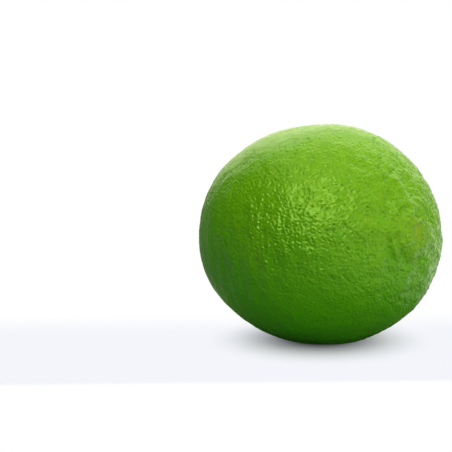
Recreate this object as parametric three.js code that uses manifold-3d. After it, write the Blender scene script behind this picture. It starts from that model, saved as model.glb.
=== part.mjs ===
// A whole lime, lying on its side on a small flat spot. Sizes are in millimetres and +Z is up.
// +X runs along the fruit, from its stem end to its blossom end, and it lies on z = 0.
import * as THREE from "three";
import { mergeVertices } from "three/addons/utils/BufferGeometryUtils.js";
import Module from "manifold-3d";

// The body is a little longer than wide, and slightly squarer than an ellipsoid.
const fruitLength = 63;
const fruitDiameter = 54;
const fullness = 2.09; // the power of the outline: 2 is an ellipsoid
const taper = 0.02; // share of the radius by which the blossom half is fuller than the stem half
const outOfRound = 0.011; // share of the radius by which the girth is oval
const tipRise = 6.5; // degrees by which the blossom end is raised above level
const footDepth = 0.75; // how much of the underside is flat where the fruit lies

// Soft undulations of the whole skin, each a wave across the fruit.
const waves = [
  { along: [3.1, 4.2, -2.4], phase: 2.5, height: 0.14 },
  { along: [-5.6, 2.3, 4.9], phase: 0.95, height: 0.17 },
  { along: [1.7, -6.8, 3.9], phase: 4.9, height: 0.12 },
  { along: [8.3, 3.7, 6.1], phase: 5.25, height: 0.07 },
];

// The blossom end has a low, broad nipple with the scar of the style on it.
// A ring groove goes round it, and puckers fade out from it.
const nippleHeight = 1;
const nippleRadius = 6.5;
const ringRadius = 9.5;
const ringWidth = 2.4;
const ringDepth = 0.32;
const puckerCount = 9;
const puckerDepth = 0.5;
const puckerReach = 9;
const scarLength = 4.4;
const scarWidth = 3;
const scarDepth = 0.5;

// The stem end is a shallow hollow with ribs round it. It holds the lobed button and the cut stalk.
const hollowDepth = 1.3;
const hollowRadius = 6;
const ribCount = 7;
const ribDepth = 0.55;
const ribReach = 10;
const buttonLobes = 5;
const buttonRadius = 2.7;
const lobeDepth = 0.5;
const buttonRise = 0.8; // above the floor of the hollow
const buttonRoot = 2; // below the floor of the hollow
const stalkRadius = 1.25;
const stalkRise = 1.5;

// The oil glands dimple the skin. They are larger than life here, and fewer.
const glandSpacing = 4.1;
const glandRadius = 1.5;
const glandDepth = 0.3;
const glandJitter = 0.3; // share of the spacing
const glandSeed = 7;

const skinDetail = 21; // the skin has 20 * (detail + 1)^2 triangles

// A small repeatable random source, from 0 to 1.
function seededRandom(seed) {
  let state = seed;
  return () => {
    state = (state + 0x6d2b79f5) | 0;
    let mixed = Math.imul(state ^ (state >>> 15), 1 | state);
    mixed = (mixed + Math.imul(mixed ^ (mixed >>> 7), 61 | mixed)) ^ mixed;
    return ((mixed ^ (mixed >>> 14)) >>> 0) / 2 ** 32;
  };
}

// Directions spread evenly over a sphere by a golden spiral, each shifted a little at random.
function glandDirections() {
  const meanRadius = (fruitLength + 2 * fruitDiameter) / 6;
  const count = Math.round((4 * Math.PI * meanRadius ** 2) / (0.87 * glandSpacing ** 2));
  const goldenAngle = Math.PI * (3 - Math.sqrt(5));
  const shift = (2 * glandJitter * glandSpacing) / meanRadius;
  const random = seededRandom(glandSeed);
  return Array.from({ length: count }, (_, i) => {
    const height = 1 - (2 * i + 1) / count;
    const ring = Math.sqrt(1 - height * height);
    const turn = i * goldenAngle;
    const offset = new THREE.Vector3(random() - 0.5, random() - 0.5, random() - 0.5);
    const even = new THREE.Vector3(height, ring * Math.cos(turn), ring * Math.sin(turn));
    return even.addScaledVector(offset, shift).normalize();
  });
}

// A smooth hump of height 1 at the middle, and its fade over the width.
function hump(distance, width) {
  return Math.exp(-((distance / width) ** 2));
}

// Rises from 0 at an end of the fruit to 1 at the reach, and fades out at about twice the reach.
// The folds leave the end itself smooth that way.
function foldFade(distance, reach) {
  const share = distance / reach;
  return 2.7 * share * share * Math.exp(-share * share);
}

// From 0 on a crest to 1 in a fold. The folds are unevenly spaced round the end.
function folds(around, count, unevenness, turn) {
  return 0.5 + 0.5 * Math.cos(count * around + unevenness * Math.sin(2 * around + turn) + turn);
}

// Distance from the fruit's middle to its skin in a direction, where +X is the blossom end.
function skinRadius(direction, glands) {
  const halfLength = fruitLength / 2 - nippleHeight;
  const around = Math.atan2(direction.z, direction.y);
  const oval = 1 + outOfRound * Math.cos(2 * around + 0.6);
  const halfGirth = (fruitDiameter / 2) * oval * (1 + taper * direction.x);
  const side = Math.hypot(direction.y, direction.z) / halfGirth;
  const end = Math.abs(direction.x) / halfLength;
  let radius = (end ** fullness + side ** fullness) ** (-1 / fullness);

  for (const { along, phase, height } of waves)
    radius += height * Math.sin(new THREE.Vector3(...along).dot(direction) + phase);

  const fromTip = Math.acos(THREE.MathUtils.clamp(direction.x, -1, 1)) * halfLength;
  const fromStem = Math.PI * halfLength - fromTip;
  radius += nippleHeight * hump(fromTip, nippleRadius);
  radius -= ringDepth * hump(fromTip - ringRadius, ringWidth) * (1 + 0.5 * Math.cos(around - 2.6));
  radius -= puckerDepth * foldFade(fromTip, puckerReach) * folds(around, puckerCount, 1.1, 0.8);
  radius -= hollowDepth * hump(fromStem, hollowRadius);
  radius -= ribDepth * foldFade(fromStem, ribReach) * folds(around, ribCount, 0.9, 2.2);

  let nearest = Infinity;
  for (const gland of glands) nearest = Math.min(nearest, gland.distanceTo(direction));
  return radius - glandDepth * hump(nearest * radius, glandRadius);
}

function skinGeometry(radiusAt) {
  const geometry = new THREE.IcosahedronGeometry(1, skinDetail);
  const position = geometry.getAttribute("position");
  const direction = new THREE.Vector3();
  for (let i = 0; i < position.count; i++) {
    direction.fromBufferAttribute(position, i).normalize();
    direction.multiplyScalar(radiusAt(direction));
    position.setXYZ(i, direction.x, direction.y, direction.z);
  }
  return geometry;
}

// The button is a lobed disc with a rounded rim.
// It is drawn round +Z, turned to face -X and set on the hollow's floor.
function buttonGeometry(floor) {
  const points = 40;
  const bevel = 0.3;
  const outline = Array.from({ length: points }, (_, i) => {
    const angle = (2 * Math.PI * i) / points;
    const radius = buttonRadius - bevel + (lobeDepth / 2) * (Math.cos(buttonLobes * angle) - 1);
    return new THREE.Vector2(radius * Math.cos(angle), radius * Math.sin(angle));
  });
  const geometry = new THREE.ExtrudeGeometry(new THREE.Shape(outline), {
    depth: buttonRoot + buttonRise - 2 * bevel,
    bevelThickness: bevel,
    bevelSize: bevel,
    bevelSegments: 2,
  });
  return geometry.translate(0, 0, bevel - buttonRoot).rotateY(-Math.PI / 2).translate(-floor, 0, 0);
}

// What is left of the stalk is a short stub in the middle of the button, with a dished cut face.
function stalkGeometry(floor) {
  const edge = 0.3;
  const profile = [
    [0, -buttonRoot],
    [stalkRadius, -buttonRoot],
    [stalkRadius, stalkRise - edge],
    [stalkRadius - edge, stalkRise],
    [0, stalkRise - edge],
  ].map(([across, up]) => new THREE.Vector2(across, up));
  return new THREE.LatheGeometry(profile, 16).rotateZ(Math.PI / 2).translate(-floor, 0, 0);
}

// The scar is a shallow oval dish across the tip of the nipple.
function scarGeometry(tip) {
  const roundness = 2; // how far the cutting ball stands out of the dish, against the dish's depth
  const depth = scarDepth * (1 + roundness);
  const spread = 1 / Math.sqrt(1 - (roundness / (1 + roundness)) ** 2);
  return new THREE.SphereGeometry(1, 20, 14)
    .scale(depth, (spread * scarWidth) / 2, (spread * scarLength) / 2)
    .translate(tip + roundness * scarDepth, 0, 0);
}

const wasm = await Module();
wasm.setup();

function solidOf(geometry) {
  geometry.deleteAttribute("normal");
  geometry.deleteAttribute("uv");
  const merged = mergeVertices(geometry);
  return new wasm.Manifold(
    new wasm.Mesh({
      numProp: 3,
      vertProperties: merged.getAttribute("position").array,
      triVerts: new Uint32Array(merged.index.array),
    }),
  );
}

function geometryOf(solid) {
  const mesh = solid.getMesh();
  const geometry = new THREE.BufferGeometry();
  geometry.setAttribute("position", new THREE.BufferAttribute(mesh.vertProperties, 3));
  geometry.setIndex(new THREE.BufferAttribute(mesh.triVerts, 1));
  return geometry;
}

// The whole fruit, level and with its middle at the origin.
function levelFruit() {
  const glands = glandDirections();
  const radiusAt = (direction) => skinRadius(direction, glands);
  const tip = radiusAt(new THREE.Vector3(1, 0, 0));
  const floor = radiusAt(new THREE.Vector3(-1, 0, 0));
  return solidOf(skinGeometry(radiusAt))
    .add(solidOf(buttonGeometry(floor)))
    .add(solidOf(stalkGeometry(floor)))
    .subtract(solidOf(scarGeometry(tip)));
}

// Lays the fruit down: tilts it, flattens the underside, and sets the flat spot on z = 0
// with the middle of the fruit above the origin.
function laidDown(fruit) {
  const tilted = geometryOf(fruit).rotateY(-THREE.MathUtils.degToRad(tipRise));
  tilted.computeBoundingBox();
  const footHeight = tilted.boundingBox.min.z + footDepth;
  const ground = new THREE.BoxGeometry(2 * fruitLength, 2 * fruitLength, fruitLength);
  ground.translate(0, 0, footHeight - fruitLength / 2);
  const geometry = geometryOf(solidOf(tilted).subtract(solidOf(ground)));
  geometry.computeBoundingBox();
  const middle = geometry.boundingBox.getCenter(new THREE.Vector3());
  geometry.translate(-middle.x, -middle.y, -footHeight);
  geometry.computeVertexNormals();
  return geometry;
}

const peel = new THREE.MeshStandardMaterial({ color: 0x5f9c1a, roughness: 0.42, metalness: 0 });
const lime = new THREE.Mesh(laidDown(levelFruit()), peel);
lime.name = "lime";

const part = new THREE.Group();
part.add(lime);

export default part;
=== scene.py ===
# A whole lime on a plain pale floor. The skin, its oil glands and the stem button are made here,
# over the plain solid that the frame brings. Relief is worked out in millimetres, objects are in metres.
import math
import random

import bmesh
import bpy
import numpy as np
from mathutils import Matrix, Vector, kdtree, noise


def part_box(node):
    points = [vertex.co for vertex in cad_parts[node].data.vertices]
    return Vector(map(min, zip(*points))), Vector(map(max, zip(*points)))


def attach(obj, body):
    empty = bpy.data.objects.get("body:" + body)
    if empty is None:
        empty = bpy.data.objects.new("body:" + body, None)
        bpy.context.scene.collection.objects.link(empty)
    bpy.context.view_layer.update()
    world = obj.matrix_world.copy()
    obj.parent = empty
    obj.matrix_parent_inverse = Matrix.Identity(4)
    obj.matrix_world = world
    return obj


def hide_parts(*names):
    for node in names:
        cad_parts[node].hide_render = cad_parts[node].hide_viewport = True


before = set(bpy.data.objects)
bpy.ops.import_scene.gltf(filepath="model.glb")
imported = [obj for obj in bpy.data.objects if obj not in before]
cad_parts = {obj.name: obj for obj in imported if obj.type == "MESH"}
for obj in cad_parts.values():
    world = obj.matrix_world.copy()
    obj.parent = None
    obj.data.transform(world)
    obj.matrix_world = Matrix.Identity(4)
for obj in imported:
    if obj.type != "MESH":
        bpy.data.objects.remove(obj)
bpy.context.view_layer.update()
mm = 0.001
print("frame loaded:", ", ".join(sorted(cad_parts)))


# Node trees

class Wire:  # a socket of a node tree: arithmetic on it adds Math nodes, and node() adds any other
    def __init__(self, tree, socket=None):
        self.tree = tree
        self.socket = socket

    def node(self, kind, settings=None, inputs=None, output=0):
        made = self.tree.nodes.new("ShaderNode" + kind)
        for name, value in (settings or {}).items():
            setattr(made, name, value)
        for name, value in (inputs or {}).items():
            if isinstance(value, Wire):
                self.tree.links.new(value.socket, made.inputs[name])
            else:
                made.inputs[name].default_value = value
        return Wire(self.tree, made.outputs[output] if made.outputs else None)

    def math(self, operation, *values):
        return self.node("Math", {"operation": operation}, dict(enumerate(values)))

    def __add__(self, other):
        return self.math("ADD", self, other)

    def __radd__(self, other):
        return self.math("ADD", other, self)

    def __sub__(self, other):
        return self.math("SUBTRACT", self, other)

    def __rsub__(self, other):
        return self.math("SUBTRACT", other, self)

    def __mul__(self, other):
        return self.math("MULTIPLY", self, other)

    def __rmul__(self, other):
        return self.math("MULTIPLY", other, self)

    def __truediv__(self, other):
        return self.math("DIVIDE", self, other)


def mixColours(factor, first, second):
    tree = Wire(factor.tree)
    ends = [end if isinstance(end, Wire) else (*end, 1) for end in (first, second)]
    return tree.node("Mix", {"data_type": "RGBA"}, {0: factor, 6: ends[0], 7: ends[1]}, 2)


def ramped(value, low, high):  # 0 below low, 1 above high, smooth between them
    ends = {"Value": value, "From Min": low, "From Max": high}
    return value.node("MapRange", {"interpolation_type": "SMOOTHSTEP"}, ends)


def dotProduct(wire, direction):
    return wire.node("VectorMath", {"operation": "DOT_PRODUCT"}, {0: wire, 1: direction}, "Value")


def noiseAt(place, size, detail=2, roughness=0.5):  # from 0 to 1, with features of that size in metres
    inputs = {"Vector": place, "Scale": 1 / size, "Detail": detail, "Roughness": roughness}
    return place.node("TexNoise", {}, inputs)


def newMaterial(name):
    material = bpy.data.materials.new(name)
    material.use_nodes = True
    material.node_tree.nodes.clear()
    return material, Wire(material.node_tree)


def finishMaterial(tree, inputs):
    shader = tree.node("BsdfPrincipled", {}, inputs)
    tree.node("OutputMaterial", {}, {"Surface": shader})


# The shape of the fruit

fruit = {
    "length": 63,
    "diameter": 54,
    "fullness": 2.09,  # the power of the outline: 2 is an ellipsoid
    "taper": 0.02,  # share by which the blossom half is fuller
    "outOfRound": 0.011,
    "ovalTurn": 0.6,
    "tipRise": 6.5,  # degrees
    "footDepth": 0.75,
    "footEdge": 0.35,  # over which the skin rolls onto the floor
    "waves": [
        ((3.1, 4.2, -2.4), 2.5, 0.14),  # along, phase, height
        ((-5.6, 2.3, 4.9), 0.95, 0.17),
        ((1.7, -6.8, 3.9), 4.9, 0.12),
        ((8.3, 3.7, 6.1), 5.25, 0.07),
    ],
    "cuts": 199,  # of each edge of the cube that is blown up into the fruit
}
blossomEnd = {
    "nippleHeight": 1,
    "nippleRadius": 6.5,
    "ringRadius": 9.5,
    "ringWidth": 2.4,
    "ringDepth": 0.32,
    "ringUnevenness": 0.5,
    "ringTurn": 2.6,
    "puckerCount": 9,
    "puckerDepth": 0.5,
    "puckerReach": 9,
    "puckerUnevenness": 1.1,
    "puckerTurn": 0.8,
    "scarLength": 4.4,
    "scarWidth": 3,
    "scarDepth": 0.4,
    "scarEdge": (0.8, 0.12),  # where the dish ends and how softly, in shares of the scar's radius
    "scarLip": 0.1,
    "lipEdge": (1.08, 0.2),
    "scarUnevenness": ((0.5, 0.06, 6), (0.4, 0.025, 9)),  # share, size and seed of each noise
    "scarSmoothness": 0.65,  # how much of the peel's relief the scar lacks
}
stemEnd = {
    "hollowDepth": 1.3,
    "hollowRadius": 6,
    "ribCount": 7,
    "ribDepth": 0.55,
    "ribReach": 10,
    "ribUnevenness": 0.9,
    "ribTurn": 2.2,
}
relief = {
    "glandSpacing": 1.1,
    "glandJitter": 0.55,  # share of the spacing
    "glandSeed": 11,
    "deepnessPower": 1.5,  # above 1, so that few glands are deep
    "pitRadius": 0.27,
    "pitDepth": (0.04, 0.17),
    "rimRadius": 0.5,
    "rimWidth": 0.16,
    "rimHeight": 0.06,
    "leastRim": 0.4,  # of the shallowest glands
    "cellSpacing": 2.5,
    "cellJitter": 0.6,
    "cellSeed": 23,
    "cellStretch": (2, 1, 1),  # narrows the cells along the fruit
    "waver": 1.6,  # size of the bends in the grooves and the streaks
    "shift": 0.5,
    "shiftSeed": 5,
    "grooveWidth": 0.32,
    "grooveDepth": 0.24,
    "groovePatches": 6,
    "grooveBreaks": 2.4,
    "swellSize": 2.8,
    "swellHeight": 0.24,
    "pebbleSize": 1.1,
    "pebbleHeight": 0.17,
    "pebbleSoftness": 0.06,  # of the creases between them
    "sunk": 0.1,  # which keeps the relief's mean on the fruit's outline
    "grainSize": 0.6,
    "grainHeight": 0.05,
    "streakSize": 1.35,
    "streakStretch": (1, 0.3, 0.3),  # they run round the fruit
    "streakHeight": 0.45,
    "streakSoftness": 0.08,
    "streakMean": 0.2,  # is taken off, so that the streaks don't swell the outline
    "streakMiddle": (13, -23, 3),  # from the middle of the fruit
    "streakReach": 11,
    "girthStreaks": 0.25,  # share of their height all round the girth
    "girthReach": 12,
    "tipStreaks": 1.3,  # share of their height in a ring round the blossom end
    "tipRing": 13,
    "tipReach": 8,
    "ridgeSize": 2.6,
    "ridgeHeight": 0.6,
    "ridgeMiddle": (-2, -26, -2),
    "ridgeReach": 12,
    "wrinkleSize": 5.5,
    "wrinkleHeight": 0.65,
    "wrinkleSoftness": 0.12,
    "wrinkleSharpness": 3,
    "wrinkleStretch": (1.8, 0.6),  # away from the tip and across
    "wrinkleRing": 6.5,  # from the tip
    "wrinkleReach": 4,
    "endRoughening": 0.3,  # how much stronger the relief is close to the ends
    "endReach": 10,
    "patchSize": 11,
    "patchStrength": (0.9, 0.6),  # the mean and the swing of the relief from patch to patch
    "topCalm": 0.6,  # how much weaker it is on top
    "topSpan": (0, 0.9),  # in shares of the radius above the middle
    "underCalm": 0.3,
    "underSpan": (-0.4, 0.1),
    "alongFruit": (0.5, 1.4),  # its share near the stem end and near the blossom end
    "alongSpan": (-18, 26),
}


def hump(distance, width):
    return np.exp(-((distance / width) ** 2))


def foldFade(distance, reach):
    share = distance / reach
    return 2.7 * share ** 2 * np.exp(-(share ** 2))


def folds(around, count, unevenness, turn):
    return 0.5 + 0.5 * np.cos(count * around + unevenness * np.sin(2 * around + turn) + turn)


def softSize(values, softness):  # the size without the sign, rounded where it is smallest
    return np.hypot(values, softness)


def noiseOn(points, size, seed):  # gradient noise at each point, with features of that size
    place = Vector((seed, 2 * seed, -seed))
    return np.array([noise.noise(Vector(point) + place) for point in (points / size).tolist()])


def scattered(spacing, jitter, seed):  # directions about that many mm apart on the fruit
    random.seed(seed)
    meanRadius = (fruit["length"] + 2 * fruit["diameter"]) / 6
    count = round(4 * math.pi * meanRadius ** 2 / (0.87 * spacing ** 2))
    golden = math.pi * (3 - math.sqrt(5))
    shift = 2 * jitter * spacing / meanRadius
    directions = []
    for i in range(count):
        height = 1 - (2 * i + 1) / count
        ring = math.sqrt(1 - height * height)
        even = Vector((height, ring * math.cos(i * golden), ring * math.sin(i * golden)))
        offset = Vector((random.random() - 0.5, random.random() - 0.5, random.random() - 0.5))
        directions.append((even + shift * offset).normalized())
    return np.array(directions)


def nearestTwo(points, centres):  # how far the two nearest centres are, and which one is the nearest
    tree = kdtree.KDTree(len(centres))
    for i, centre in enumerate(centres.tolist()):
        tree.insert(centre, i)
    tree.balance()
    found = [tree.find_n(point, 2) for point in points.tolist()]
    first = np.array([pair[0][2] for pair in found])
    second = np.array([pair[1][2] for pair in found])
    return first, second, np.array([pair[0][1] for pair in found])


def bodyRadius(directions):  # the fruit without the fine relief, and the distances from its ends
    halfLength = fruit["length"] / 2 - blossomEnd["nippleHeight"]
    x, y, z = directions.T
    around = np.arctan2(z, y)
    oval = 1 + fruit["outOfRound"] * np.cos(2 * around + fruit["ovalTurn"])
    side = np.hypot(y, z) / (fruit["diameter"] / 2 * oval * (1 + fruit["taper"] * x))
    power = fruit["fullness"]
    radius = ((np.abs(x) / halfLength) ** power + side ** power) ** (-1 / power)
    for along, phase, height in fruit["waves"]:
        radius += height * np.sin(directions @ np.array(along) + phase)
    fromTip = np.arccos(np.clip(x, -1, 1)) * halfLength
    fromStem = math.pi * halfLength - fromTip
    end = blossomEnd
    radius += end["nippleHeight"] * hump(fromTip, end["nippleRadius"])
    ring = hump(fromTip - end["ringRadius"], end["ringWidth"])
    radius -= end["ringDepth"] * ring * (1 + end["ringUnevenness"] * np.cos(around - end["ringTurn"]))
    puckers = folds(around, end["puckerCount"], end["puckerUnevenness"], end["puckerTurn"])
    radius -= end["puckerDepth"] * foldFade(fromTip, end["puckerReach"]) * puckers
    end = stemEnd
    radius -= end["hollowDepth"] * hump(fromStem, end["hollowRadius"])
    ribs = folds(around, end["ribCount"], end["ribUnevenness"], end["ribTurn"])
    radius -= end["ribDepth"] * foldFade(fromStem, end["ribReach"]) * ribs
    return radius, fromTip, fromStem


def calmness(places, directions):  # the share of the relief's full strength at each place
    up = directions[:, 2]
    calm = 1 - relief["topCalm"] * np.interp(up, relief["topSpan"], (0, 1)) ** 2
    calm -= relief["underCalm"] * np.interp(up, relief["underSpan"], (1, 0))
    return calm * np.interp(places[:, 0], relief["alongSpan"], relief["alongFruit"])


def unevenRelief(places, fromTip, fromStem):  # swells, pebbles and grain
    ends = hump(fromTip, relief["endReach"]) + hump(fromStem, relief["endReach"])
    mean, swing = relief["patchStrength"]
    strength = mean + swing * noiseOn(places, relief["patchSize"], 5)
    strength *= 1 + relief["endRoughening"] * ends
    swell = relief["swellHeight"] * noiseOn(places, relief["swellSize"], 7)
    pebbles = softSize(noiseOn(places, relief["pebbleSize"], 1), relief["pebbleSoftness"])
    grain = relief["grainHeight"] * noiseOn(places, relief["grainSize"], 2)
    return strength * (swell + relief["pebbleHeight"] * pebbles + grain)


def streaksAndRidges(places, shifts, fromTip):
    stretched = (places + shifts) * np.array(relief["streakStretch"])
    fromStreaks = np.linalg.norm(places - np.array(relief["streakMiddle"]), axis=1)
    share = hump(fromStreaks, relief["streakReach"])
    share += relief["girthStreaks"] * hump(places[:, 0], relief["girthReach"])
    atTip = relief["tipStreaks"] * hump(fromTip - relief["tipRing"], relief["tipReach"])
    streaks = softSize(noiseOn(stretched, relief["streakSize"], 9), relief["streakSoftness"])
    height = relief["streakHeight"] * (streaks - relief["streakMean"]) * np.maximum(share, atTip)
    fromRidges = np.linalg.norm(places - np.array(relief["ridgeMiddle"]), axis=1)
    ridges = noiseOn(stretched, relief["ridgeSize"], 12)
    return height + relief["ridgeHeight"] * ridges * hump(fromRidges, relief["ridgeReach"])


def oilGlands(directions, radius):  # their pits and rims, how far the nearest gland is and how deep it is
    glands = scattered(relief["glandSpacing"], relief["glandJitter"], relief["glandSeed"])
    toGland, _, owner = nearestTwo(directions, glands)
    toGland = toGland * radius
    random.seed(relief["glandSeed"] + 1)
    deepness = np.array([random.random() ** relief["deepnessPower"] for _ in glands])[owner]
    pit = hump(toGland, relief["pitRadius"]) * np.interp(deepness, (0, 1), relief["pitDepth"])
    rim = hump(toGland - relief["rimRadius"], relief["rimWidth"]) * relief["rimHeight"]
    return rim * (relief["leastRim"] + deepness) - pit, toGland, deepness


def groovesBetweenCells(directions, radius, places, shifts):  # they come in patches and break off in places
    stretch = np.array(relief["cellStretch"])
    cells = scattered(relief["cellSpacing"], relief["cellJitter"], relief["cellSeed"])
    wavy = directions + shifts / radius[:, None]
    near, far, _ = nearestTwo(wavy * stretch, cells * stretch)
    patches = np.clip(2 * noiseOn(places, relief["groovePatches"], 4), 0, 1)
    breaks = np.clip(0.3 + 2.5 * noiseOn(places, relief["grooveBreaks"], 10), 0, 1)
    return hump((far - near) * radius, relief["grooveWidth"]) * patches * breaks


def tipWrinkles(places, fromTip):
    away, across = relief["wrinkleStretch"]
    stretched = np.stack([away * fromTip, across * places[:, 1], across * places[:, 2]], axis=1)
    folded = softSize(noiseOn(stretched, relief["wrinkleSize"], 8), relief["wrinkleSoftness"])
    share = hump(fromTip - relief["wrinkleRing"], relief["wrinkleReach"])
    return relief["wrinkleHeight"] * share * (1 - relief["wrinkleSharpness"] * folded)


def fineRelief(directions, radius, fromTip, fromStem):  # in mm, with what the peel's shader needs
    places = directions * radius[:, None]
    noise.seed_set(relief["shiftSeed"])  # without it noise_vector differs from run to run
    shifts = np.array([noise.noise_vector(Vector(point)) for point in (places / relief["waver"]).tolist()])
    shifts *= relief["shift"]
    calm = calmness(places, directions)
    glands, toGland, deepness = oilGlands(directions, radius)
    groove = groovesBetweenCells(directions, radius, places, shifts)
    height = unevenRelief(places, fromTip, fromStem) + glands - relief["grooveDepth"] * groove
    height = calm * height + streaksAndRidges(places, shifts, fromTip) - relief["sunk"]
    height += tipWrinkles(places, fromTip)
    return height, toGland, deepness, groove


def styleScar(directions, radius):  # an oval dish with a low, uneven lip
    x, y, z = (directions * radius[:, None]).T
    end = blossomEnd
    uneven = 1 + sum(share * noiseOn(directions, size, seed) for share, size, seed in end["scarUnevenness"])
    across = np.hypot(y / end["scarWidth"], z / end["scarLength"]) * 2 / uneven
    across = np.where(x > 0, across, 9)  # the other end of the fruit is far outside the scar
    edge, softness = end["scarEdge"]
    dish = 1 / (1 + np.exp((across - edge) / softness))
    edge, width = end["lipEdge"]
    return end["scarLip"] * hump(across - edge, width) - end["scarDepth"] * dish, dish


def cubeSphere(cuts):  # a cube's surface in even squares, and each square's place on the bake's map
    shape = bmesh.new()
    bmesh.ops.create_cube(shape, size=2)
    bmesh.ops.subdivide_edges(shape, edges=shape.edges[:], cuts=cuts, use_grid_fill=True)
    layer = shape.loops.layers.uv.new("OFBake")
    margin = 0.006
    for face in shape.faces:
        normal = face.normal
        axis = max(range(3), key=lambda i: abs(normal[i]))
        column = axis
        row = 1 if normal[axis] > 0 else 0
        a, b = [i for i in range(3) if i != axis]
        for loop in face.loops:
            u = margin + (1 - 2 * margin) * (loop.vert.co[a] + 1) / 2
            v = margin + (1 - 2 * margin) * (loop.vert.co[b] + 1) / 2
            loop[layer].uv = ((column + u) / 3, (row + v) / 2)
    return shape


def skinMesh():
    shape = cubeSphere(fruit["cuts"])
    corners = np.array([vert.co for vert in shape.verts])
    directions = np.tan(corners * math.pi / 4)
    directions /= np.linalg.norm(directions, axis=1)[:, None]
    radius, fromTip, fromStem = bodyRadius(directions)
    height, toGland, deepness, groove = fineRelief(directions, radius, fromTip, fromStem)
    dent, scar = styleScar(directions, radius)
    radius = radius + height * (1 - blossomEnd["scarSmoothness"] * scar) + dent
    mesh = bpy.data.meshes.new("limeSkin")
    shape.to_mesh(mesh)
    shape.free()
    marks = {
        "toGland": toGland,  # this one stays in millimetres
        "deepness": deepness * (1 - scar),
        "groove": groove * (1 - scar),
        "scar": scar,
        "fromTip": fromTip * mm,
        "fromStem": fromStem * mm,
    }
    for name, values in marks.items():
        attribute = mesh.attributes.new(name, "FLOAT", "POINT")
        attribute.data.foreach_set("value", values.astype(np.float32))
    return mesh, directions * radius[:, None] * mm


def layDown(points):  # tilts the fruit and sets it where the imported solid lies
    turn = Matrix.Rotation(-math.radians(fruit["tipRise"]), 4, "Y")
    tilted = points @ np.array(turn.to_3x3()).T
    low, high = (np.array(corner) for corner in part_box("lime"))
    shift = Vector((
        high[0] - tilted[:, 0].max(),
        (low[1] + high[1] - tilted[:, 1].min() - tilted[:, 1].max()) / 2,
        -fruit["footDepth"] * mm - tilted[:, 2].min(),
    ))
    return Matrix.Translation(shift) @ turn


def rollOnFloor(points):  # flattens what lies below z = 0, with a soft edge
    edge = fruit["footEdge"] * mm
    share = np.clip(0.5 + 0.5 * points[:, 2] / edge, 0, 1)
    points[:, 2] = points[:, 2] * share + edge * share * (1 - share)
    return points


def newPiece(name, mesh, material):
    piece = bpy.data.objects.new(name, mesh)
    bpy.context.scene.collection.objects.link(piece)
    mesh.materials.append(material)
    mesh.shade_smooth()
    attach(piece, "root")
    return piece


# The peel

peel = {
    # The top and bottom colours: partly the peel's own yellowing, partly painted light on top and painted
    # shade underneath
    "paleLit": (0.175, 0.44, 0.004),
    "green": (0.075, 0.35, 0.003),
    "deepShaded": (0.043, 0.3, 0.001),
    "paleLitWay": (0.35, 0.1, 0.85),  # the side that is yellowest and lightest: the peel's own yellowing plus painted light, with painted shade on the far side
    "middle": 26 * mm,  # of the fruit, above the floor
    "paleLitReach": 27 * mm,
    "paleLitSpan": (-0.75, 0.95),
    "patchSize": 17 * mm,
    "patchShare": 0.9,
    "mottleSize": 2.4 * mm,
    "mottleShare": 0.35,
    "speckleSize": 0.5 * mm,
    # darker green of the oil glands, partly their own colour and partly painted shade in the pits and
    # grooves
    "glandDarkAndShade": (0.03, 0.18, 0.002),
    "pitEdge": (0.05, 0.34),  # in mm from the gland's middle, like the rim's
    "rimStart": (0.24, 0.46),
    "rimEnd": (0.5, 0.72),
    "shallowShare": 0.15,  # what the shallowest glands show
    "dotSpacing": 0.9 * mm,
    "dotEdge": (0.1, 0.45),
    "pitShare": 0.4,
    "dotShare": 0.3,
    # painted shade along the grooves between cells
    "grooveShadeShare": 0.4,
    "calmTop": (26 * mm, 50 * mm, 0.85),  # the pores fade by that share on top
    "calmUnder": (2 * mm, 30 * mm, 0.65),  # and by that one underneath
    "alongFruit": (-10 * mm, 26 * mm, 0.5, 0.8),  # what they have at the stem end, and gain at the other
    "blossom": (0.2, 0.4, 0.01),
    "blossomReach": (2 * mm, 9 * mm, 0.35),  # from full to none, and its share where it is full
    "scar": (0.3, 0.4, 0.01),
    "scarSpot": (0.3, 0.22, 0.01),
    "scarShare": 0.5,
    "stem": (0.3, 0.48, 0.05),
    "stemReach": (2 * mm, 8 * mm, 0.5),
    "roughness": 0.24,
    "specular": 0.32,
    "sheen": (0.75, 1, 0.45),
    "softness": 0.05,  # share of light that goes through the skin
    "softDepth": 0.6 * mm,
    "softTint": (0.5, 1, 0.2),
    "poreBump": 0.85,
    "grainSize": 0.3 * mm,
    "grainBump": 0.2,
    "bumpDepth": 0.08 * mm,
}


def nearEnd(distance, full, none, share):
    return (1 - ramped(distance, full, none)) * share


def poreStrength(place):  # how much of the pores shows, by place on the fruit
    up = place.node("SeparateXYZ", {}, {0: place}, "Z")
    along = place.node("SeparateXYZ", {}, {0: place}, "X")
    low, high, fade = peel["calmTop"]
    strength = 1 - ramped(up, low, high) * fade
    low, high, fade = peel["calmUnder"]
    strength = strength * (1 - fade + fade * ramped(up, low, high))
    low, high, least, gain = peel["alongFruit"]
    return strength * (least + gain * ramped(along, low, high))


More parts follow.
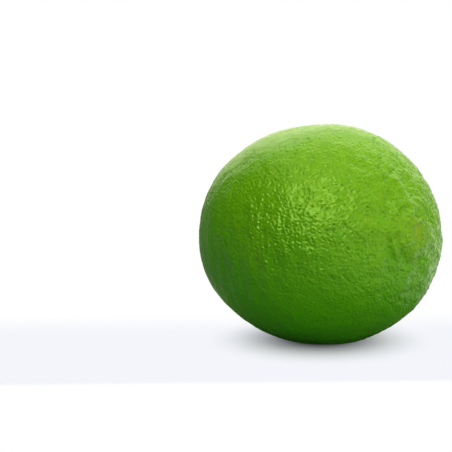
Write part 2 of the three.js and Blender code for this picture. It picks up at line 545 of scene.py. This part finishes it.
def peelMaterial():
    material, tree = newMaterial("waxyPeel")
    place = tree.node("TexCoord", {}, {}, "Object")
    marks = {name: tree.node("Attribute", {"attribute_name": name}, {}, "Fac")
             for name in ("toGland", "deepness", "groove", "scar", "fromTip", "fromStem")}
    paleLitWay = Vector(peel["paleLitWay"]).normalized()
    fromMiddle = place.node("VectorMath", {"operation": "SUBTRACT"}, {0: place, 1: (0, 0, peel["middle"])})
    paleLit = dotProduct(fromMiddle, paleLitWay)
    patches = noiseAt(place, peel["patchSize"], 3)
    mottle = noiseAt(place, peel["mottleSize"], 3, 0.6)
    speckle = noiseAt(place, peel["speckleSize"], 2)
    shallow = peel["shallowShare"]
    pit = (1 - ramped(marks["toGland"], *peel["pitEdge"])) * (shallow + (1 - shallow) * marks["deepness"])
    rim = ramped(marks["toGland"], *peel["rimStart"]) * (1 - ramped(marks["toGland"], *peel["rimEnd"]))
    dots = {"Vector": place, "Scale": 1 / peel["dotSpacing"], "Randomness": 0.9}
    dot = 1 - ramped(place.node("TexVoronoi", {}, dots), *peel["dotEdge"])
    shown = poreStrength(place)

    # lighter and yellower towards the mostly upward way, darker green away from it: partly the peel's own
    # tone, partly painted light and shade
    paleLit = paleLit / peel["paleLitReach"] + (patches - 0.5) * peel["patchShare"]
    colour = mixColours(ramped(paleLit, *peel["paleLitSpan"]), peel["deepShaded"], peel["paleLit"])
    colour = mixColours(ramped(mottle, 0.4, 0.7) * peel["mottleShare"], colour, peel["green"])
    colour = mixColours(nearEnd(marks["fromTip"], *peel["blossomReach"]), colour, peel["blossom"])
    colour = mixColours(nearEnd(marks["fromStem"], *peel["stemReach"]), colour, peel["stem"])
    # the glands darken, partly their own colour and partly painted shade that deepens with each pit's depth
    colour = mixColours((pit * peel["pitShare"] + dot * peel["dotShare"]) * shown, colour, peel["glandDarkAndShade"])
    # painted shade in the grooves between cells
    colour = mixColours(marks["groove"] * peel["grooveShadeShare"], colour, peel["glandDarkAndShade"])
    stain = mixColours(ramped(speckle, 0.5, 0.75), peel["scar"], peel["scarSpot"])
    colour = mixColours(marks["scar"] * peel["scarShare"], colour, stain)

    grain = noiseAt(place, peel["grainSize"], 2, 0.6) + speckle * 0.8
    grain = {"Height": grain, "Strength": peel["grainBump"], "Distance": peel["bumpDepth"]}
    pores = {"Height": (rim * 0.3 - pit * 0.7 - dot * 0.7) * shown, "Strength": peel["poreBump"],
             "Distance": peel["bumpDepth"], "Normal": tree.node("Bump", {}, grain)}
    finishMaterial(tree, {
        "Base Color": colour,
        "Roughness": peel["roughness"] + (mottle - 0.5) * 0.2 + marks["scar"] * 0.2,
        "Specular IOR Level": peel["specular"],
        "Specular Tint": (*peel["sheen"], 1),
        "Subsurface Weight": peel["softness"],
        "Subsurface Radius": peel["softTint"],
        "Subsurface Scale": peel["softDepth"],
        "Normal": tree.node("Bump", {}, pores),
    })
    return material


skin, level = skinMesh()
lie = layDown(level)
laid = rollOnFloor(level @ np.array(lie.to_3x3()).T + np.array(lie.translation))
skin.vertices.foreach_set("co", laid.astype(np.float32).ravel())
skin.update()
limeSkin = newPiece("limeSkin", skin, peelMaterial())
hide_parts("lime")
print("skin:", len(skin.polygons), "faces")


# The stem button and what is left of the stalk

button = {
    "radius": 2.7,
    "lobes": 5,
    "lobeDepth": 0.5,
    "rise": 0.75,  # above the floor of the hollow
    "root": 1.4,  # below it
    "stalkRadius": 1.2,
    "stalkRise": 1.45,
    "stalkUnevenness": 0.05,
    "crinkleAcross": 0.08,
    "crinkleUp": 0.1,
    "hole": 0.03,  # radius of the smallest ring, which one face closes
    "rings": 26,
    "spokes": 120,
    "calyx": (0.15, 0.2, 0.04),
    "dry": (0.27, 0.22, 0.08),
    "cut": (0.45, 0.4, 0.2),
    "blotchSize": 1.1 * mm,
    "fineSize": 0.22 * mm,
    "fineShare": 0.6,
    "roughness": 0.62,
    "bump": 0.6,
    "bumpDepth": 0.12 * mm,
}


def buttonMesh():
    shape = bmesh.new()
    spokes = button["spokes"]
    rows = []
    for i in range(button["rings"] + 1):
        share = i / button["rings"]
        row = []
        for j in range(spokes):
            around = 2 * math.pi * j / spokes
            row.append(shape.verts.new(buttonPoint(share, around)))
        rows.append(row)
    for inner, outer in zip(rows, rows[1:]):
        for j in range(spokes):
            k = (j + 1) % spokes
            shape.faces.new((inner[j], outer[j], outer[k], inner[k]))
    shape.faces.new(rows[0])
    shape.faces.new(rows[-1][::-1])
    bmesh.ops.triangulate(shape, faces=[face for face in shape.faces if len(face.verts) > 4])
    bmesh.ops.recalc_face_normals(shape, faces=shape.faces[:])
    mesh = bpy.data.meshes.new("stemButton")
    shape.to_mesh(mesh)
    shape.free()
    return mesh


def buttonPoint(share, around):  # from the middle of the cut stalk, over the calyx, down to its root
    lobes = 0.5 - 0.5 * math.cos(button["lobes"] * around)
    rim = button["radius"] - button["lobeDepth"] * lobes
    stalk = button["stalkRadius"] * (1 + button["stalkUnevenness"] * math.sin(3 * around + 1))
    cut = button["stalkRise"]
    top = button["rise"]
    profile = [  # share of the way, radius and height
        (0, 0, cut - 0.25),
        (0.2, stalk * 0.86, cut),
        (0.27, stalk, cut - 0.12),
        (0.36, stalk, top + 0.25),
        (0.44, stalk + 0.25, top + 0.02),
        (0.72, rim * 0.86, top - 0.02),
        (0.84, rim, top - 0.25),
        (0.92, rim, 0),
        (1, rim * 0.8, -button["root"]),
    ]
    steps, across, up = zip(*profile)
    crinkle = noise.noise(Vector((3 * math.cos(around), 3 * math.sin(around), 9 * share)))
    radius = float(np.interp(share, steps, across)) + button["crinkleAcross"] * crinkle
    radius = max(radius, button["hole"])
    height = float(np.interp(share, steps, up))
    if share < 0.9:  # the root stays plain
        height += button["crinkleUp"] * crinkle
    return Vector((height, radius * math.cos(around), radius * math.sin(around))) * mm


def buttonMaterial():
    material, tree = newMaterial("dryCalyx")
    place = tree.node("TexCoord", {}, {}, "Object")
    blotch = noiseAt(place, button["blotchSize"], 3, 0.6)
    fine = noiseAt(place, button["fineSize"], 3, 0.6)
    colour = mixColours(ramped(blotch, 0.38, 0.66), button["calyx"], button["dry"])
    colour = mixColours(ramped(fine, 0.5, 0.8) * button["fineShare"], colour, button["cut"])
    bump = {"Height": fine + blotch, "Strength": button["bump"], "Distance": button["bumpDepth"]}
    finishMaterial(tree, {
        "Base Color": colour,
        "Roughness": button["roughness"] + (blotch - 0.5) * 0.3,
        "Normal": tree.node("Bump", {}, bump),
    })
    return material


stemButton = buttonMesh()
floorOfHollow, _, _ = bodyRadius(np.array([[-1.0, 0, 0]]))
seat = lie @ Matrix.Translation((-floorOfHollow[0] * mm, 0, 0)) @ Matrix.Rotation(math.pi, 4, "Z")
stemButton.transform(seat)
newPiece("stemButton", stemButton, buttonMaterial())
print("stem button:", len(stemButton.polygons), "faces")


# The floor, the light and the camera

studio = {
    "floorBody": (0.72, 0.76, 1),
    "paintedContactShadow": (0.15, 0.17, 0.2),  # painted contact shadow where the fruit touches it
    "contactShadowReach": (0.006, 0.011),
    "floorGlow": (0.9, 0.915, 0.965),  # what the picture shows of the floor clear of the shadow
    "floorUnder": (0.25, 0.38, 0.2),  # how the fruit's bounce light finds it, underneath and further off: dull green painted shade that stands in for the shaded floor
    "floorFar": (1, 1, 0.8),
    "floorSpan": 6,
    "floorDrop": 0.03 * mm,  # how far it is below the fruit's flat spot
    "farLight": (0.25, 0.45, 0.6),  # the far floor's: everywhere, added at the right, added there for gloss
    "shadowReach": (0.002, 0.029),
    "stripTurn": 4.1,  # degrees, from the camera's side of the fruit
    "stripBack": (-0.034, -0.007),  # the tinted strip of the floor, from behind the fruit to before it
    "stripFront": (0.04, 0.043),
    "brightSide": (-0.06, 0.04),  # the far floor is brighter on the right
    "bounceReach": (0.028, 0.065),
    "warmth": (1, 0.95, 0.6),
    "glowTint": (0.93, 0.97, 0.62),
    "glows": [  # for the gloss: turn from the camera, elevation, where one starts and is full, strength
        (167, 33, (0.52, 0.95), 1.7),
        (82, 8, (0.83, 0.95), 1),
    ],
    "dimLight": 0.05,  # what the gloss shows of the dark parts of the room
    "ambient": 0.31,
    "lamps": {  # turn to the right of the camera, elevation, distance, size and power
        "overhead": (40, 80, 0.7, 1.6, 8),
        "side": (30, 10, 0.6, 0.06, 0.5),
        "right": (62, 8, 0.6, 0.05, 0.4),
        "front": (-16, 37, 0.6, 0.5, 5),
    },
    "glossy": ("front", "right"),  # the lamps that only the gloss shows
}
shot = {
    "azimuth": 42.1,  # degrees round the fruit
    "elevation": 8,
    "distance": 0.32,
    "focalPixels": 1310,
    "imageSide": 452,
    "fruitAcross": 319.5,  # where the fruit's middle falls in the picture, in its pixels
    "fruitDown": 233,
}


def floorMaterial():
    material, tree = newMaterial("paleFloor")
    place = tree.node("TexCoord", {}, {}, "Object")
    reach = place.node("VectorMath", {"operation": "LENGTH"}, {0: place}, "Value")
    across = dotProduct(place, directionTo(shot["azimuth"] + 90, 0))
    forward = dotProduct(place, directionTo(shot["azimuth"] + studio["stripTurn"], 0))
    strip = ramped(forward, *studio["stripBack"]) * (1 - ramped(forward, *studio["stripFront"]))
    # painted contact shadow: the floor's colour darkens close to the fruit
    body = mixColours(ramped(reach, *studio["contactShadowReach"]), studio["paintedContactShadow"], studio["floorBody"])
    matt = tree.node("BsdfDiffuse", {}, {"Color": body})
    glow = tree.node("Emission", {}, {"Color": mixColours(strip, (1, 1, 1), studio["floorGlow"])})
    shown = tree.node("MixShader", {}, {0: ramped(reach, *studio["shadowReach"]), 1: matt, 2: glow})

    # painted shade: the floor near the fruit is dull green for the light that bounces onto the fruit
    dull = tree.node("BsdfDiffuse", {}, {"Color": (*studio["floorUnder"], 1)})
    gloss = tree.node("LightPath", {}, {}, "Is Glossy Ray")
    bright = ramped(across, *studio["brightSide"])
    everywhere, brighter, shinier = studio["farLight"]
    strength = everywhere + brighter * bright + shinier * gloss * bright
    far = tree.node("Emission", {}, {"Color": (*studio["floorFar"], 1), "Strength": strength})
    bounce = tree.node("MixShader", {}, {0: ramped(reach, *studio["bounceReach"]), 1: dull, 2: far})
    seen = tree.node("LightPath", {}, {}, "Is Camera Ray")
    surface = tree.node("MixShader", {}, {0: seen, 1: bounce, 2: shown})
    tree.node("OutputMaterial", {}, {"Surface": surface})
    return material


def makeFloor():
    half = studio["floorSpan"] / 2
    corners = [(-half, -half, 0), (half, -half, 0), (half, half, 0), (-half, half, 0)]
    mesh = bpy.data.meshes.new("floor")
    mesh.from_pydata(corners, [], [(0, 1, 2, 3)])
    mesh.transform(Matrix.Translation((0, 0, -studio["floorDrop"])))
    mesh.materials.append(floorMaterial())
    floor = bpy.data.objects.new("floor", mesh)
    bpy.context.scene.collection.objects.link(floor)


def makeSky():
    world = bpy.data.worlds.new("studio")
    bpy.context.scene.world = world
    world.use_nodes = True
    world.node_tree.nodes.clear()
    tree = Wire(world.node_tree)
    way = tree.node("TexCoord", {}, {}, "Generated")
    mirrored = studio["dimLight"]
    for turn, elevation, spread, power in studio["glows"]:
        centre = directionTo(shot["azimuth"] + turn, elevation)
        facing = dotProduct(way, centre)
        mirrored = mirrored + ramped(facing, *spread) * power
    gloss = tree.node("LightPath", {}, {}, "Is Glossy Ray")
    light = gloss * mirrored + (1 - gloss) * studio["ambient"]
    seen = tree.node("LightPath", {}, {}, "Is Camera Ray")
    colour = mixColours(seen, studio["glowTint"], (1, 1, 1))
    backdrop = tree.node("Background", {}, {"Color": colour, "Strength": seen + (1 - seen) * light})
    tree.node("OutputWorld", {}, {"Surface": backdrop})


def makeLamp(name, place, size, power, target):
    light = bpy.data.lights.new(name, "AREA")
    light.shape = "DISK"
    light.size = size
    light.energy = power
    light.color = studio["warmth"]
    lamp = bpy.data.objects.new(name, light)
    bpy.context.scene.collection.objects.link(lamp)
    lamp.location = place
    lamp.rotation_mode = "QUATERNION"
    lamp.rotation_quaternion = (place - target).to_track_quat("Z", "Y")
    return lamp


def directionTo(azimuth, elevation):
    a, e = math.radians(azimuth), math.radians(elevation)
    return Vector((math.sin(a) * math.cos(e), -math.cos(a) * math.cos(e), math.sin(e)))


def makeCamera(middle):
    data = bpy.data.cameras.new("camera")
    data.sensor_width = 36
    data.lens = data.sensor_width * shot["focalPixels"] / shot["imageSide"]
    data.clip_start = 0.01
    data.clip_end = 20
    camera = bpy.data.objects.new("camera", data)
    bpy.context.scene.collection.objects.link(camera)
    back = directionTo(shot["azimuth"], shot["elevation"])
    half = shot["imageSide"] / 2
    turnLeft = math.atan((shot["fruitAcross"] - half) / shot["focalPixels"])
    turnUp = math.atan((shot["fruitDown"] - half) / shot["focalPixels"])
    aim = (-back).to_track_quat("-Z", "Y").to_matrix().to_4x4()
    aim = aim @ Matrix.Rotation(turnLeft, 4, "Y") @ Matrix.Rotation(turnUp, 4, "X")
    camera.matrix_world = Matrix.Translation(middle + back * shot["distance"]) @ aim
    bpy.context.scene.camera = camera


low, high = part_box("lime")
middle = (low + high) / 2
makeFloor()
makeSky()
for name, (turn, elevation, distance, size, power) in studio["lamps"].items():
    way = directionTo(shot["azimuth"] + turn, elevation)
    lamp = makeLamp(name, middle + distance * way, size, power, middle)
    lamp.visible_diffuse = name not in studio["glossy"]
makeCamera(middle)
bpy.context.scene.view_settings.view_transform = "Standard"
print("floor, light and camera made")
